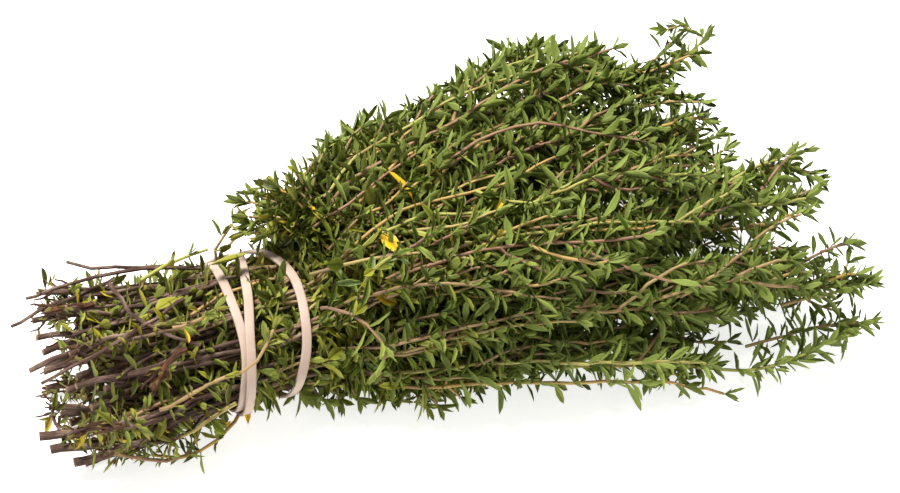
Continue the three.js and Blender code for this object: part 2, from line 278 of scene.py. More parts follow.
# The rubber band's middle line: for each eighth of a turn, from the top down the near side and round, its
# place along x and how far it is lifted where it passes over another turn.
band = {"width": 2.6, "thick": 1.0, "y": 23.8, "z": 15.9, "mid": 18.1, "steps": 288}
bandTurns = [
    (57.0, 0), (56.0, 0), (52.8, 0), (51.8, 0), (52.0, 0), (52.2, 0.6), (55.5, 1.5), (64.5, 1.0),
    (62.4, 0), (57.4, 1.2), (54.2, 1.5), (53.4, 1.5), (54.6, 0.6), (55.6, 0.9), (60.2, 1.5), (70.4, 0.6),
    (75.4, 0), (73.4, 0), (68.8, 0), (65.6, 0), (63.4, 0), (61.8, 0), (59.4, 0), (57.8, 0),
]


def bandLine():
    places, outwards = [], []
    for k in range(band["steps"]):
        x, lift, _ = catmullRom([(x, lift, 0) for x, lift in bandTurns], k / band["steps"], closed=True)
        turn = math.pi / 2 + 2 * math.pi * len(bandTurns) / 8 * k / band["steps"]
        outward = unit(np.array([0, math.cos(turn) / band["y"], math.sin(turn) / band["z"]]))
        at = np.array([x, band["y"] * math.cos(turn), band["mid"] + band["z"] * math.sin(turn)])
        places.append(at + outward * lift)
        outwards.append(outward)
    return np.array(places), np.array(outwards)


mains = mainRoutes()
bandPlaces, bandOutwards = bandLine()
print("routes of", len(mains), "sprigs and the band")


# Shader maths
class Value:
    # a socket that adds Math nodes when it is used in an expression
    def __init__(self, paint, socket):
        self.paint = paint
        self.socket = socket

    def maths(self, operation, a, b=None):
        sockets = {0: a} if b is None else {0: a, 1: b}
        return self.paint.value(self.paint.node("ShaderNodeMath", {"operation": operation}, sockets))

    def __add__(self, other):
        return self.maths("ADD", self, other)

    def __sub__(self, other):
        return self.maths("SUBTRACT", self, other)

    def __rsub__(self, other):
        return self.maths("SUBTRACT", other, self)

    def __mul__(self, other):
        return self.maths("MULTIPLY", self, other)

    def __abs__(self):
        return self.maths("ABSOLUTE", self)

    __radd__ = __add__
    __rmul__ = __mul__


class Paint:
    # a material and its nodes
    def __init__(self, name, **constants):
        self.material = bpy.data.materials.new(name)
        self.material.use_nodes = True
        self.tree = self.material.node_tree
        self.shader = self.tree.nodes["Principled BSDF"]
        for socket, value in constants.items():
            self.shader.inputs[socket.replace("_", " ")].default_value = value

    def node(self, kind, settings=None, sockets=None):
        made = self.tree.nodes.new(kind)
        for name, value in (settings or {}).items():
            if name == "stops":
                self.setStops(made.color_ramp, value)
            else:
                setattr(made, name, value)
        for name, value in (sockets or {}).items():
            self.feed(made.inputs[name], value)
        return made

    def feed(self, socket, value):
        if isinstance(value, Value):
            value = value.socket
        if isinstance(value, bpy.types.NodeSocket):
            self.tree.links.new(value, socket)
        else:
            socket.default_value = value

    def setStops(self, ramp, stops):
        while len(ramp.elements) < len(stops):
            ramp.elements.new(1)
        for element, (place, colour) in zip(ramp.elements, stops):
            element.position = place
            element.color = (*colour, 1)

    def value(self, node, output=0):
        return Value(self, node.outputs[output])

    def attribute(self, name):
        return self.value(self.node("ShaderNodeAttribute", {"attribute_name": name}), "Fac")

    def blend(self, factor, a, b):
        a, b = ((*c, 1) if isinstance(c, tuple) else c for c in (a, b))
        made = self.node("ShaderNodeMix", {"data_type": "RGBA"}, {"Factor": factor})
        self.feed(made.inputs[6], a)
        self.feed(made.inputs[7], b)
        return made.outputs[2]

    def ramp(self, factor, stops):
        return self.node("ShaderNodeValToRGB", {"stops": stops}, {"Fac": factor}).outputs["Color"]

    def smooth(self, value, low, high):
        sockets = {"Value": value, "From Min": low, "From Max": high}
        return self.value(self.node("ShaderNodeMapRange", {"interpolation_type": "SMOOTHSTEP"}, sockets))

    def noise(self, vector, scale, detail=2):
        sockets = {"Vector": vector, "Scale": scale, "Detail": detail}
        return self.value(self.node("ShaderNodeTexNoise", None, sockets), "Fac")

    def place(self):
        return self.node("ShaderNodeTexCoord").outputs["Object"]

    def bump(self, height, distance, strength=1.0):
        sockets = {"Height": height, "Distance": distance, "Strength": strength}
        return self.node("ShaderNodeBump", None, sockets).outputs["Normal"]

    def finish(self, **sockets):
        for name, value in sockets.items():
            self.feed(self.shader.inputs[name.replace("_", " ")], value)
        return self.material


# Leaf finish: green and old are ramps from the darkest leaf to the palest
# the groove colour is painted shade in each leaf's middle crease, and the edge colour a painted highlight
# along its rims
leafColours = {
    "green": [(0, (0.022, 0.042, 0.003)), (0.35, (0.055, 0.092, 0.007)), (0.7, (0.11, 0.165, 0.016)),
              (1, (0.26, 0.33, 0.07))],
    "old": [(0, (0.06, 0.062, 0.008)), (0.4, (0.145, 0.15, 0.015)), (0.75, (0.3, 0.285, 0.03)),
            (0.92, (0.5, 0.4, 0.02)), (1, (0.15, 0.06, 0.02))],
    "under": (0.21, 0.26, 0.06), "edge": (0.3, 0.37, 0.08), "shadedGroove": (0.022, 0.038, 0.004),
    "yellow": (0.7, 0.42, 0.01),
}
# the leaves whose tint is next to nothing turn yellow; bump is a depth and a strength, and the other pairs
# are where a mask starts and ends
# the groove and edge shares say how strongly painted shade darkens each leaf's middle crease and a painted
# highlight pales its rims
leafFinish = {"specular": 0.2, "tintFade": 40, "yellowing": (0.0, 0.3), "mottle": 1400,
              "shadedGroove": (0.05, 0.3), "grooveShadeShare": 0.5, "grooveDepth": 0.6,
              "edge": (0.6, 0.95), "rimHighlightShare": 0.55, "underShare": 0.45,
              "rough": 0.36, "mottleRough": 0.2, "underRough": 0.2, "bump": (0.0002, 0.5)}


def leafPaint():
    finish = leafFinish
    paint = Paint("thymeLeaf", Specular_IOR_Level=finish["specular"])
    place = paint.place()
    tint, age = paint.attribute("leafTint"), paint.attribute("leafAge")
    under, across = paint.attribute("leafUnder"), paint.attribute("leafAcross")
    upper = paint.blend(age, paint.ramp(tint, leafColours["green"]), paint.ramp(tint, leafColours["old"]))
    yellow = paint.smooth(age - tint * finish["tintFade"], *finish["yellowing"])
    upper = paint.blend(yellow, upper, leafColours["yellow"])
    mottle = paint.noise(place, finish["mottle"])
    # painted shade: the middle crease of each leaf is darkened as if shaded
    shadedGroove = 1 - paint.smooth(abs(across), *finish["shadedGroove"])
    upper = paint.blend(shadedGroove * finish["grooveShadeShare"], upper, leafColours["shadedGroove"])
    # painted highlight: the rims of each leaf are paled as if catching the light
    edge = paint.smooth(abs(across), *finish["edge"])
    upper = paint.blend(edge * finish["rimHighlightShare"], upper, leafColours["edge"])
    colour = paint.blend(under * finish["underShare"], upper, leafColours["under"])
    rough = finish["rough"] + mottle * finish["mottleRough"] + under * finish["underRough"]
    height = mottle - shadedGroove * finish["grooveDepth"]
    return paint.finish(Base_Color=colour, Roughness=rough, Normal=paint.bump(height, *finish["bump"]))


# Stem finish: young is a ramp over the stems, from golden to green
stemColours = {
    "young": [(0, (0.46, 0.31, 0.09)), (0.35, (0.37, 0.25, 0.12)), (0.65, (0.27, 0.155, 0.1)),
              (0.8, (0.42, 0.32, 0.13)), (1, (0.36, 0.37, 0.09))],
    "flush": (0.17, 0.075, 0.045), "bark": (0.14, 0.078, 0.058), "barkDark": (0.05, 0.025, 0.018),
    "barkPale": (0.31, 0.215, 0.165), "knot": (0.15, 0.055, 0.022), "wood": (0.27, 0.17, 0.09),
}
# streak and patches are a noise's scale and detail, grain is how far it is stretched, and bump is a depth
# and a strength; the other pairs are where a mask starts and ends
stemFinish = {"specular": 0.25, "grain": (9, 90), "streak": (1.6, 4), "patches": (160, 3),
              "dark": (0.35, 0.66), "pale": (0.22, 0.38), "flush": (0.5, 0.7), "flushShare": 0.5,
              "patchiness": 0.8, "bark": (0.3, 0.7), "knotDark": (0.4, 0.6), "knot": (1.5, 1.8),
              "rough": 0.62, "streakRough": 0.2, "bump": (0.0006, 0.7)}


def stemPaint():
    finish = stemFinish
    paint = Paint("thymeStem", Specular_IOR_Level=finish["specular"])
    woody, along = paint.attribute("stemWoody"), paint.attribute("stemAlong")
    around, cut = paint.attribute("stemAround"), paint.attribute("stemCut")
    grainAround, grainAlong = finish["grain"]
    grain = paint.node("ShaderNodeCombineXYZ", None, {"X": around * grainAround, "Y": along * grainAlong})
    streak = paint.noise(grain.outputs[0], *finish["streak"])
    patches = paint.noise(paint.place(), *finish["patches"])
    bark = paint.blend(paint.smooth(streak, *finish["dark"]), stemColours["barkDark"], stemColours["bark"])
    bark = paint.blend(paint.smooth(streak * patches, *finish["pale"]), bark, stemColours["barkPale"])
    young = paint.ramp(paint.attribute("stemTint"), stemColours["young"])
    flush = paint.smooth(patches, *finish["flush"]) * finish["flushShare"]
    young = paint.blend(flush, young, stemColours["flush"])
    barked = paint.smooth(woody + (patches - 0.5) * finish["patchiness"], *finish["bark"])
    colour = paint.blend(barked, young, bark)
    knotted = paint.smooth(streak, *finish["knotDark"])
    knot = paint.blend(knotted, stemColours["barkDark"], stemColours["knot"])
    colour = paint.blend(paint.smooth(woody, *finish["knot"]), colour, knot)
    colour = paint.blend(cut, colour, stemColours["wood"])
    return paint.finish(Base_Color=colour, Roughness=finish["rough"] + streak * finish["streakRough"],
                        Normal=paint.bump(streak * woody, *finish["bump"]))


# Rubber finish
rubberColours = {"dull": (0.43, 0.325, 0.265), "clear": (0.5, 0.39, 0.325), "speck": (0.34, 0.25, 0.19)}
rubberFinish = {"specular": 0.3, "cloud": (120, 3), "specks": (2600, 2), "clouded": (0.3, 0.7),
                "speckled": (0.62, 0.75), "speckShare": 0.3, "rough": 0.5, "speckRough": 0.15,
                "bump": (0.0001, 0.5)}


def rubberPaint():
    finish = rubberFinish
    paint = Paint("bandRubber", Specular_IOR_Level=finish["specular"])
    place = paint.place()
    cloud, specks = paint.noise(place, *finish["cloud"]), paint.noise(place, *finish["specks"])
    clouded = paint.smooth(cloud, *finish["clouded"])
    colour = paint.blend(clouded, rubberColours["dull"], rubberColours["clear"])
    speckled = paint.smooth(specks, *finish["speckled"]) * finish["speckShare"]
    colour = paint.blend(speckled, colour, rubberColours["speck"])
    return paint.finish(Base_Color=colour, Roughness=finish["rough"] + specks * finish["speckRough"],
                        Normal=paint.bump(specks, *finish["bump"]))


leafMaterial, stemMaterial, rubberMaterial = leafPaint(), stemPaint(), rubberPaint()
print("materials")

# Leaf forms: closed blades of length 1 along +Z with the upper side towards -X, narrow at the root and tip.
# arch bends the tip back, fold lifts the edges, twist turns the tip. The small ones have fewer rows.
leafRows = {"full": [(0.17, 0.5), (0.5, 1.0), (0.81, 0.68)],
            "small": [(0.22, 0.66), (0.66, 1.0)]}  # share of the length, share of the width
leafForms = [
    {"rows": "small", "width": 0.31, "arch": 0.12, "fold": 0.4, "twist": 12},
    {"rows": "small", "width": 0.26, "arch": -0.14, "fold": 0.5, "twist": -20},
    {"rows": "small", "width": 0.35, "arch": 0.28, "fold": 0.3, "twist": 26},
    {"rows": "full", "width": 0.27, "arch": 0.2, "fold": 0.4, "twist": 18},
    {"rows": "full", "width": 0.23, "arch": -0.14, "fold": 0.55, "twist": -26},
    {"rows": "full", "width": 0.3, "arch": 0.38, "fold": 0.25, "twist": 34},
    {"rows": "full", "width": 0.25, "arch": 0.08, "fold": 0.7, "twist": -12},
    {"rows": "full", "width": 0.28, "arch": 0.28, "fold": 0.3, "twist": -38},
    {"rows": "full", "width": 0.48, "arch": 0.14, "fold": 0.2, "twist": 16},
    {"rows": "full", "width": 0.4, "arch": -0.14, "fold": 0.35, "twist": -24},
]
leafKinds = {"small": (0, 2), "narrow": (3, 7), "broad": (8, 9)}  # the first and last form of each
blade = {"thick": 0.035, "drawnIn": 0.3}


def leafPoint(form, far, wide, high):
    turn = math.radians(form["twist"]) * far
    back = wide * math.sin(turn) + high * math.cos(turn) + form["arch"] * far * far
    along = far - blade["drawnIn"] * form["arch"] ** 2 * far
    return back, wide * math.cos(turn) - high * math.sin(turn), along


def addLeafForm(index, form, collection):
    rows = leafRows[form["rows"]]
    points, across = [leafPoint(form, 0, 0, 0)], [0.0]
    for far, share in rows:
        wide = share * form["width"] / 2
        edge, thick = -form["fold"] * wide, blade["thick"] * share
        for side, high, shown in [(-wide, edge, -1), (0, 0, 0), (wide, edge, 1), (0, thick, 0)]:
            points.append(leafPoint(form, far, side, high))
            across.append(float(shown))
    points.append(leafPoint(form, 1, 0, 0))
    across.append(0.0)
    last = len(points) - 1
    faces, under = [], []
    for s in range(4):
        t = (s + 1) % 4
        faces.append((0, 1 + s, 1 + t))
        for row in range(len(rows) - 1):
            a, b = 1 + 4 * row + s, 1 + 4 * row + t
            faces.extend([(a, a + 4, b), (b, a + 4, b + 4)])
        faces.append((last - 4 + s, last, last - 4 + t))
        under.extend([float(s > 1)] * 2 * len(rows))
    mesh = bpy.data.meshes.new(f"leafForm{index}")
    mesh.from_pydata(points, [], faces)
    mesh.polygons.foreach_set("use_smooth", [True] * len(faces))
    # the rims and the groove are sharp; of the four points of a row only the one beneath divides by 4
    sharp = mesh.attributes.new("sharp_edge", "BOOLEAN", "EDGE")
    for edge in mesh.edges:
        a, b = sorted(edge.vertices)
        lengthwise = a == 0 or b == last or b - a == 4
        sharp.data[edge.index].value = lengthwise and (b if a == 0 else a) % 4 > 0
    mesh.attributes.new("leafUnder", "FLOAT", "FACE").data.foreach_set("value", under)
    mesh.attributes.new("leafAcross", "FLOAT", "POINT").data.foreach_set("value", across)
    collection.objects.link(bpy.data.objects.new(f"leafForm{index}", mesh))


leafCollection = bpy.data.collections.new("leafForms")
for index, form in enumerate(leafForms):
    addLeafForm(index, form, leafCollection)


# Node tree
class Tree:
    # a Geometry Nodes tree with named inputs
    def __init__(self, name):
        self.tree = bpy.data.node_groups.new(name, "GeometryNodeTree")
        self.tree.interface.new_socket("Geometry", in_out="OUTPUT", socket_type="NodeSocketGeometry")
        self.keys = {}
        self.ins = self.tree.nodes.new("NodeGroupInput")
        self.outs = self.tree.nodes.new("NodeGroupOutput")
        self.input("Geometry", "Geometry")

    def input(self, name, kind):
        socket = self.tree.interface.new_socket(name, in_out="INPUT", socket_type="NodeSocket" + kind)
        self.keys[name] = socket.identifier
        return self.ins.outputs[name]

    def node(self, kind, settings=None, sockets=None):
        made = self.tree.nodes.new(kind)
        for name, value in (settings or {}).items():
            setattr(made, name, value)
        for name, value in (sockets or {}).items():
            socket = next(s for s in made.inputs if s.enabled and name in (s.name, s.identifier))
            if isinstance(value, bpy.types.NodeSocket):
                self.tree.links.new(value, socket)
            else:
                socket.default_value = value
        return next(output for output in made.outputs if output.enabled)

    def attribute(self, name, kind="FLOAT"):
        return self.node("GeometryNodeInputNamedAttribute", {"data_type": kind}, {"Name": name})

    def stored(self, geometry, name, value):
        return self.node("GeometryNodeStoreNamedAttribute", {"data_type": "FLOAT", "domain": "POINT"},
                         {"Geometry": geometry, "Name": name, "Value": value})

    def joined(self, parts):
        made = self.tree.nodes.new("GeometryNodeJoinGeometry")
        for part in parts:
            self.tree.links.new(part, made.inputs[0])
        return made.outputs[0]


# How far a leaf turns about its three axes, as shares of its sway
leafTurns = {"Min": (-0.4, -0.4, -1), "Max": (0.4, 0.4, 1)}


def sprigTree():
    # the object's edges become stems, and its loose points with a leafSize become leaves
    tree = Tree("thymeSprig")
    points = tree.ins.outputs["Geometry"]
    forms, length = tree.input("Leaf forms", "Collection"), tree.input("Leaf length", "Float")
    sway, seed = tree.input("Sway", "Float"), tree.input("Seed", "Int")
    sides, leaf = tree.input("Stem sides", "Int"), tree.input("Leaf material", "Material")
    bark = tree.input("Stem material", "Material")

    routes = tree.node("GeometryNodeMeshToCurve", None, {"Mesh": points})
    along = tree.tree.nodes.new("GeometryNodeSplineParameter").outputs["Length"]
    routes = tree.stored(routes, "stemAlong", along)
    ring = tree.node("GeometryNodeCurvePrimitiveCircle", None, {"Resolution": sides, "Radius": 1.0})
    around = tree.tree.nodes.new("GeometryNodeSplineParameter").outputs["Factor"]
    ring = tree.stored(ring, "stemAround", around)
    stems = tree.node("GeometryNodeCurveToMesh", None,
                      {"Curve": routes, "Profile Curve": ring, "Scale": tree.attribute("stemHalf"),
                       "Fill Caps": True})
    stems = tree.node("GeometryNodeSetShadeSmooth", {"domain": "FACE"}, {"Geometry": stems})
    stems = tree.node("GeometryNodeSetMaterial", None, {"Geometry": stems, "Material": bark})

    size = tree.attribute("leafSize")
    grows = tree.node("FunctionNodeCompare", {"data_type": "FLOAT", "operation": "GREATER_THAN"},
                      {"A": size, "B": 0.0})
    facing = tree.node("FunctionNodeAxesToRotation", {"primary_axis": "Z", "secondary_axis": "X"},
                       {"Primary Axis": tree.attribute("leafDirection", "FLOAT_VECTOR"),
                        "Secondary Axis": tree.attribute("leafBack", "FLOAT_VECTOR")})
    lean = tree.node("FunctionNodeRandomValue", {"data_type": "FLOAT_VECTOR"}, {**leafTurns, "Seed": seed})
    lean = tree.node("ShaderNodeVectorMath", {"operation": "SCALE"}, {"Vector": lean, "Scale": sway})
    lean = tree.node("FunctionNodeEulerToRotation", None, {"Euler": lean})
    facing = tree.node("FunctionNodeRotateRotation", {"rotation_space": "LOCAL"},
                       {"Rotation": facing, "Rotate By": lean})
    scale = tree.node("ShaderNodeMath", {"operation": "MULTIPLY"}, {"Value": size, "Value_001": length})
    blades = tree.node("GeometryNodeCollectionInfo", None,
                       {"Collection": forms, "Separate Children": True, "Reset Children": True})
    leaves = tree.node("GeometryNodeInstanceOnPoints", None,
                       {"Points": points, "Selection": grows, "Instance": blades, "Pick Instance": True,
                        "Instance Index": tree.attribute("leafForm", "INT"), "Rotation": facing,
                        "Scale": scale})
    leaves = tree.node("GeometryNodeRealizeInstances", None, {"Geometry": leaves})
    leaves = tree.node("GeometryNodeSetMaterial", None, {"Geometry": leaves, "Material": leaf})
    tree.tree.links.new(tree.joined([stems, leaves]), tree.outs.inputs["Geometry"])
    return tree


sprigNodes = sprigTree()

# Growth of a sprig, in millimetres and degrees. Two values are a range, what holds at the root and at the
# tip, or what holds for inner and outer sprigs.
growth = {
    "firstSeed": 5000, "leafLength": 8.6, "sway": 0.6, "stemSides": 5, "outer": 0.55, "tableGap": 0.0002,
    "olderThan": 30, "fresherThan": 130, "ageSpread": 0.4, "broadShare": 0.35, "smallBelow": 0.68,
    "leafSizes": (0.72, 1.24), "cutLeaves": 0.84, "endLeaves": 0.6, "endReach": 9, "steepest": 0.3,
    "lean": (84, 44), "leanSpread": 16, "turnSpread": 16, "tipLean": (10, 38), "tipSize": (0.5, 0.78),
    "firstNode": 2.5, "nodeSpread": (0.8, 1.2), "nodeEasing": 1.5, "kinks": (0.55, 0.3), "kinkEasing": 10,
    "jitter": 0.22, "shoots": (0.24, 0.95), "shootOdds": 0.5, "shootLength": (16, 40),
    "shootSpread": (0.25, 0.7), "shootTries": 6, "endShoots": 0.36, "shootPoints": 9,
    "branches": (1, 3), "twigs": (1, 3), "twigRoots": (3, 36), "twigLength": (14, 36),
    "twigSpread": (0.1, 0.35), "cutBack": (0, 8), "cutFace": 0.5, "stoutness": (0.7, 1.15),
    "swelling": 0.3, "swollenBelow": 0.4, "taper": 0.7, "frayed": 0.6,
}
tufts = {"turn": 75, "along": 1.8, "out": 1.2, "size": (0.42, 0.85), "lean": (0.25, 1.1)}
branching = {"root": (2, 24), "end": (0.5, 0.92), "turn": 80, "drift": (2, 9), "wave": (0.6, 2.0), "phase": 6,
             "step": 5.0, "apart": 2.4, "parting": 14, "freeFrom": 82, "freeOver": 90, "waveLength": 17,
             "waveFrom": 3, "nodes": (9, 6), "shootOdds": 0.3}
fraying = {"scales": (14, 24), "scaleAlong": (0, 10), "scaleOut": (0.9, 1.6), "scaleLean": (20, 80),
           "scaleSize": (0.25, 0.5), "fibres": (5, 9), "fibreAlong": (1, 12), "fibreLength": (2, 6),
           "fibreOut": (0.3, 2.4), "fibreBend": 0.4, "points": 5}
woodiness = {"root": 1.05, "from": 30, "over": 90, "lost": 0.5, "main": (1.25, 1.5)}
mainStem = {"half": (0.95, 0.42), "nodes": (6.5, 3.0), "sizes": (0.85, 1.0), "tuft": (1, 3)}
styles = {
    "shoot": {"half": (0.58, 0.36), "nodes": (4.8, 2.4), "sizes": (0.95, 0.86), "tuft": (0, 2), "bare": 0.04},
    "branch": {"half": (0.66, 0.4), "nodes": (6.2, 3.2), "sizes": (0.85, 0.92), "tuft": (0, 2)},
    "stray": {"half": (0.52, 0.36), "nodes": (7, 4.5), "sizes": (0.85, 0.95), "tuft": (0, 2), "bare": 0.12},
    "bush": {"half": (0.5, 0.36), "nodes": (3.2, 2.4), "sizes": (0.95, 0.9), "tuft": (1, 3), "bare": 0},
    "twig": {"half": (0.62, 0.45), "nodes": (6, 5), "sizes": (0.7, 0.75), "tuft": (0, 1), "bare": 0.5},
    "bare": {"half": (0.62, 0.5), "nodes": (6, 5), "bare": 1, "woody": 1},
    "stout": {"half": (1.35, 1.0), "nodes": (6, 5), "bare": 1, "woody": 1},
    "knotted": {"half": (0.8, 1.15), "nodes": (2, 2), "bare": 1, "woody": 2, "frayed": True},
    "fibre": {"half": (0.4, 0.22), "nodes": (2, 2), "bare": 1, "woody": 2},
    "hook": {"half": (0.5, 0.34), "nodes": (5, 3.6), "sizes": (0.8, 0.8), "tuft": (1, 3), "bare": 0.05},
    "green": {"half": (0.6, 0.42), "nodes": (6.5, 4), "sizes": (0.9, 0.9), "tuft": (1, 3), "bare": 0.1,
              "woody": 0},
}
bareShares = {"cut": (0.9, 0.5), "fan": (0.5, 0.15)}  # nodes without leaves on inner and outer stems
sway = {"wave": (38, 90), "size": 1.3, "easing": 28, "bendReach": 38}
limits = {"ceiling": 55, "edge": 27, "widening": 0.27, "narrowest": -60, "near": 50, "far": 45, "floor": 0.5,
          "tiedY": 22.4, "tiedZ": 14.5, "tieStart": 8, "tieEasing": 10, "twigs": 37,
          "bandGap": 2.2, "bandSpace": 1.45, "bandZone": (40, 84), "leafTests": (0.15, 0.5, 0.8, 1.0),
          "gaps": [((174, -53, 4), (210, -40, 17)), ((118, -60, 0), (153, -31, 12)),
                   ((203, -30, 24), (232, -18, 46))]}

# Where shoots reach furthest: those of the solids, and more along the bunch's outline
reaches = [
    (69, 25, 44), (76, 27, 44), (83, 28, 46), (93, 29, 49), (104, 30, 48), (121, 33, 50), (136, 43, 52),
    (74, -25, 4), (80, -30, 3), (89, -30, 3), (101, -40, 2), (96, -33, 3), (108, -38, 3), (119, -38, 3),
    (18, -20, 5), (26, -19, 4), (36, -23, 4), (48, -23, 4), (36, 20, 34), (45, 20, 35), (141, -30, 7),
    (181, 44, 50), (194, 31, 48), (203, 0, 42), (208, -18, 40),
    (72, 22, 47), (69, 19, 43), (76, 23, 47), (88, 24, 48), (99, 29, 50), (110, 29, 50), (116, 32, 50),
    (128, 41, 53), (142, 46, 51), (150, 46, 53), (156, 50, 51), (165, 48, 53), (172, 52, 50), (178, 50, 50),
    (186, 40, 51), (187, 47, 46), (208, 26, 45), (206, 22, 48), (208, 14, 46), (206, 5, 46),
    (196, 20, 50), (186, 24, 52), (204, 12, 44), (176, 36, 53), (170, 44, 48), (160, 40, 53),
    (173, 41, 50), (184, 39, 50), (191, 26, 48), (194, 18, 46), (204, 19, 46), (202, 8, 44), (198, 31, 47),
    (199, 12, 47), (202, 21, 45), (196, 16, 49), (199, 6, 46), (195, 1, 47), (187, 44, 47), (178, 52, 47),
    (205, 27, 46), (183, 29, 50), (174, 30, 52), (190, 30, 44), (204, 25, 43),
    (234, -50, 20), (228, -41, 30), (230, -22, 35), (223, -28, 32), (213, -35, 30),
    (174, -56, 4), (165, -48, 4), (155, -40, 6), (231, -55, 10), (202, 0, 45), (201, -5, 45),
    (22, 18, 34), (29, 20, 34), (52, 14, 36.5), (10, -18, 5), (8, -24, 13), (30, -26, 8), (20, -25, 8),
    (77, -29, 3), (84, -32, 3), (93, -34, 3), (104, -41, 2), (112, -41, 3), (128, 44, 51), (137, 47, 51),
    (146, 50, 51),
]
# A thick tuft above the band's far side, from one root
behindBand = {"root": (88, 9, 37), "rise": 2, "points": 10, "ends": [
    (70, 21, 45), (73, 21, 47), (76, 21, 48), (79, 18, 49), (83, 18, 49), (69, 16, 44), (67, 13, 41),
    (70, 15, 42), (75, 14, 44), (70, 12, 39), (72, 11, 40), (77, 12, 42), (80, 21, 47), (86, 22, 49)]}
# In the upper fan each of these shoots has a second one a little behind and below it
companions = {"seed": 77, "beyond": 140, "from": -10, "above": 30, "back": (2, 8), "aside": 5,
              "below": (4, 13)}
launching = {"places": 40, "shares": (0.02, 0.98), "ahead": 0.3, "far": (12, 44), "endLeaf": 0.9,
             "aside": 1.5, "bend": 0.12, "points": 10}

# Stems that stand out in the bunch, as the places they pass
heroPoints = 4  # for each of those places
heroes = [
    {"style": "bare", "way": [(50, 14, 33.5), (38, 18, 34.5), (25, 23, 34.3), (20, 28, 34)]},
    {"style": "bare", "way": [(28, 13, 36), (29.5, -2, 38.5), (35, -11, 37), (44, -17, 34)]},
    {"style": "bare", "way": [(44, -3, 38.5), (30, -8.5, 38), (16, -13, 36.5), (9, -14, 36), (1, -16, 35)]},
    {"style": "bare", "way": [(31, 20, 31), (14, 16, 31), (0, 13, 30)]},
    {"style": "bare", "way": [(53, 11, 35), (35, 17, 35), (15, 19, 34), (6, 19, 33)]},
    {"style": "knotted", "way": [(40, -17, 34), (36, -18.5, 34), (31, -21.5, 32), (28, -23.5, 30)]},
    {"style": "knotted", "way": [(22, 8, 35), (15, 9, 35), (9, 11, 34)]},
    {"style": "stout", "way": [(-1, -12, 12), (9, -14, 12), (26, -14, 13)]},
    {"style": "stout", "way": [(1, -15, 9), (12, -17, 8.5), (27, -17, 9)]},
    {"style": "stout", "way": [(6, -19, 6), (16, -20, 6), (28, -19, 7)]},
    {"style": "green", "way": [(29, -26, 24), (38, -26, 26), (45, -25.5, 28.6), (54, -26, 30), (59, -24, 33),
                               (63, -21, 36.5)]},
    {"style": "green", "way": [(50, -25.5, 18), (40, -26.5, 14.4), (31, -25, 10.3), (23, -21, 8)]},
    {"style": "green", "way": [(56, -15, 5), (48.5, -22, 6), (36, -28, 6), (26, -24, 6)]},
    {"style": "green", "way": [(38, -12, 38), (44, -12, 38), (50, -10, 38.5)]},
    {"style": "green", "way": [(36, 10, 37), (46, 12, 39), (56, 13, 39)]},
    {"style": "hook", "way": [(191, 25, 46), (200, 28, 47), (209, 33, 47), (215, 35.5, 47), (218, 38.5, 47),
                              (217, 42.5, 47), (213.5, 46, 47), (210, 46, 47)]},
    {"style": "shoot", "way": [(190, -19, 37), (203, -17, 37), (213, -13, 38), (221, -16, 37),
                               (225, -19, 36)]},
    {"style": "shoot", "way": [(196, -45, 23), (210, -41, 27), (220, -40.5, 29), (225, -41, 29)]},
    {"style": "shoot", "way": [(202, -47, 19), (213, -48.5, 20), (227, -49, 20)]},
    {"style": "shoot", "way": [(199, -29, 34), (206, -29, 33.5), (216, -28, 33)]},
    {"style": "bush", "way": [(188, 18, 45), (197, 16, 46), (204, 13, 46)]},
    {"style": "bush", "way": [(190, 8, 45), (197, 8, 46), (203, 6, 45)]},
    {"style": "bush", "way": [(166, 30, 49), (176, 33, 50), (185, 32, 49)]},
    {"style": "bush", "way": [(165, 24, 50), (176, 26, 51), (187, 24, 49)]},
    {"style": "bush", "way": [(160, 44, 49), (169, 49, 48), (175, 50, 47)]},
    {"style": "bush", "way": [(165, 38, 50), (177, 43, 49), (185, 41, 48)]},
    {"style": "bush", "way": [(184, 20, 47), (193, 20, 47), (200, 18, 46)]},
    {"style": "bush", "way": [(190, -50, 10), (200, -50.5, 10.5), (212, -51.5, 11), (221, -53, 10.5),
                              (227, -54, 10)]},
    {"style": "shoot", "way": [(212, -12, 39), (219, -14, 38), (225, -18, 37)]},
    {"style": "bush", "way": [(216, -41, 29), (223, -41, 30)]},
    {"style": "bush", "way": [(219, -46, 22), (227, -48, 20)]},
    {"style": "stray", "way": [(77, -19, 37.5), (82, -26, 40), (87, -35, 38), (88, -38, 34), (86, -39, 30)]},
    {"style": "stray", "way": [(78, -8, 40), (88, -14, 46), (105, -19, 48), (117, -25, 47), (127, -35, 44)]},
    {"style": "stray", "way": [(82, 8, 40), (92, 6, 47), (104, 10, 50), (118, 16, 51)]},
    {"style": "stray", "way": [(84, -20, 38), (97, -26, 44), (110, -30, 45), (124, -37, 42), (137, -41, 39)]},
    {"style": "stray", "way": [(118, -20, 48), (137, -26, 50), (160, -28, 48), (183, -31, 43)]},
    {"style": "stray", "way": [(128, -24, 49), (142, -29, 48), (159, -43, 43), (175, -49, 37)]},
    {"style": "stray", "way": [(126, 10, 52), (140, 13, 54), (154, 12, 54), (168, 4, 52), (180, -2, 50)]},
    {"style": "stray", "way": [(90, 14, 46), (104, 22, 51), (120, 26, 53), (138, 32, 54), (156, 36, 53)]},
]
